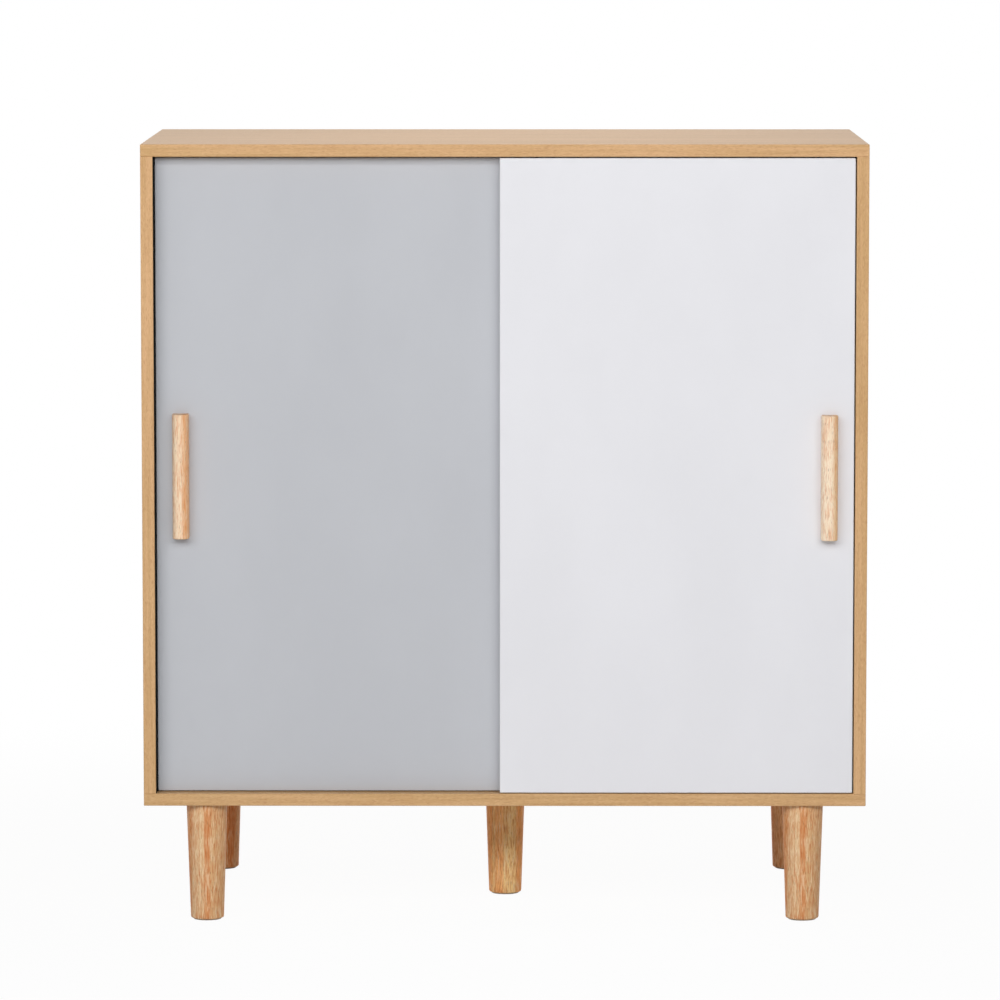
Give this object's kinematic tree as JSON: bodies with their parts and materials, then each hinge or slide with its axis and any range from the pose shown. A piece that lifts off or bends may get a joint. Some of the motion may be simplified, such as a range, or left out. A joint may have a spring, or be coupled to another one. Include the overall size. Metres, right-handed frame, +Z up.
{
  "type": "sliding door cabinet",
  "caption": "Low storage cabinet with a wood-effect case on turned tapered legs, and grey and white sliding doors that pass each other on rollers, each with a wooden pull.",
  "frame": {"origin": "on the floor at the centre of the case's footprint: the middle of the underside of the centre leg's pad", "axes": "+Z up, +X to the right seen from the front, +Y to the back, so the doors face -Y"},
  "size_m": [0.88, 0.469, 0.95],
  "materials": {
    "beech_board": "matt beech decor paper on particle board, edge banded",
    "white_lacquer": "satin white lacquer on fibreboard",
    "grey_lacquer": "satin cool grey lacquer on fibreboard",
    "rubberwood": "clear-lacquered solid rubberwood",
    "hardboard": "thin fibreboard with beech-coloured face",
    "back_strip_plastic": "extruded plastic",
    "dowel_wood": "fluted beech",
    "zinc": "die-cast zinc alloy",
    "steel": "zinc-plated steel",
    "track_plastic": "brown extruded plastic",
    "housing_plastic": "black moulded plastic",
    "nylon": "white nylon",
    "felt": "pale felt",
    "seal_strip": "black foam strip"
  },
  "bodies": {
    "carcass": {"back_joint_strip": "back_strip_plastic", "bottom_panel": "beech_board", "cam_bolts": "steel", "cam_locks": "zinc", "centre_partition": "beech_board", "confirmat_screws": "steel", "dowels": "dowel_wood", "foot_pads": "felt", "front_bottom_track": "track_plastic", "front_top_track": "track_plastic", "left_back_panel": "hardboard", "left_seal": "seal_strip", "left_shelf_pins": "steel", "left_side_panel": "beech_board", "leg_bolts": "steel", "leg_inserts": "zinc", "legs": "rubberwood", "lower_left_shelf": "beech_board", "lower_right_shelf": "beech_board", "rear_bottom_track": "track_plastic", "rear_top_track": "track_plastic", "right_back_panel": "hardboard", "right_seal": "seal_strip", "right_shelf_pins": "steel", "right_side_panel": "beech_board", "top_panel": "beech_board", "upper_left_shelf": "beech_board", "upper_right_shelf": "beech_board"},
    "front_door": {"front_door_panel": "white_lacquer", "front_handle": "rubberwood", "front_handle_screws": "steel", "front_roller_cups": "housing_plastic", "front_roller_axles": "steel", "front_guide_housings": "housing_plastic"},
    "rear_door": {"rear_door_panel": "grey_lacquer", "rear_handle": "rubberwood", "rear_handle_screws": "steel", "rear_roller_cups": "housing_plastic", "rear_roller_axles": "steel", "rear_guide_housings": "housing_plastic"},
    "front_left_wheel": {"front_left_wheel": "nylon"},
    "front_left_guide": {"front_left_guide_slider": "housing_plastic"},
    "front_right_wheel": {"front_right_wheel": "nylon"},
    "front_right_guide": {"front_right_guide_slider": "housing_plastic"},
    "rear_left_wheel": {"rear_left_wheel": "nylon"},
    "rear_left_guide": {"rear_left_guide_slider": "housing_plastic"},
    "rear_right_wheel": {"rear_right_wheel": "nylon"},
    "rear_right_guide": {"rear_right_guide_slider": "housing_plastic"}
  },
  "joints": [
    {"name": "front_door_slide", "type": "slide", "parent": "carcass", "child": "front_door", "axis": [1, 0, 0], "range_m": [-0.376, 0]},
    {"name": "front_left_wheel_spin", "type": "hinge", "parent": "front_door", "child": "front_left_wheel", "pos_m": [0.039, -0.2165, 0.1641], "axis": [0, 1, 0], "range_deg": [-2400, 0]},
    {"name": "front_left_guide_retract", "type": "slide", "parent": "front_door", "child": "front_left_guide", "axis": [0, 0, 1], "range_m": [-0.006, 0]},
    {"name": "front_right_wheel_spin", "type": "hinge", "parent": "front_door", "child": "front_right_wheel", "pos_m": [0.3785, -0.2165, 0.1641], "axis": [0, 1, 0], "range_deg": [-2400, 0]},
    {"name": "front_right_guide_retract", "type": "slide", "parent": "front_door", "child": "front_right_guide", "axis": [0, 0, 1], "range_m": [-0.006, 0]},
    {"name": "rear_door_slide", "type": "slide", "parent": "carcass", "child": "rear_door", "axis": [1, 0, 0], "range_m": [0, 0.376]},
    {"name": "rear_left_wheel_spin", "type": "hinge", "parent": "rear_door", "child": "rear_left_wheel", "pos_m": [-0.3785, -0.1995, 0.1641], "axis": [0, 1, 0], "range_deg": [0, 2400]},
    {"name": "rear_left_guide_retract", "type": "slide", "parent": "rear_door", "child": "rear_left_guide", "axis": [0, 0, 1], "range_m": [-0.006, 0]},
    {"name": "rear_right_wheel_spin", "type": "hinge", "parent": "rear_door", "child": "rear_right_wheel", "pos_m": [-0.039, -0.1995, 0.1641], "axis": [0, 1, 0], "range_deg": [0, 2400]},
    {"name": "rear_right_guide_retract", "type": "slide", "parent": "rear_door", "child": "rear_right_guide", "axis": [0, 0, 1], "range_m": [-0.006, 0]}
  ],
  "couplings": [
    {"joint": "front_left_wheel_spin", "follows": "front_door_slide", "rad_per_m": 111.11},
    {"joint": "front_right_wheel_spin", "follows": "front_door_slide", "rad_per_m": 111.11},
    {"joint": "rear_left_wheel_spin", "follows": "rear_door_slide", "rad_per_m": 111.11},
    {"joint": "rear_right_wheel_spin", "follows": "rear_door_slide", "rad_per_m": 111.11}
  ]
}
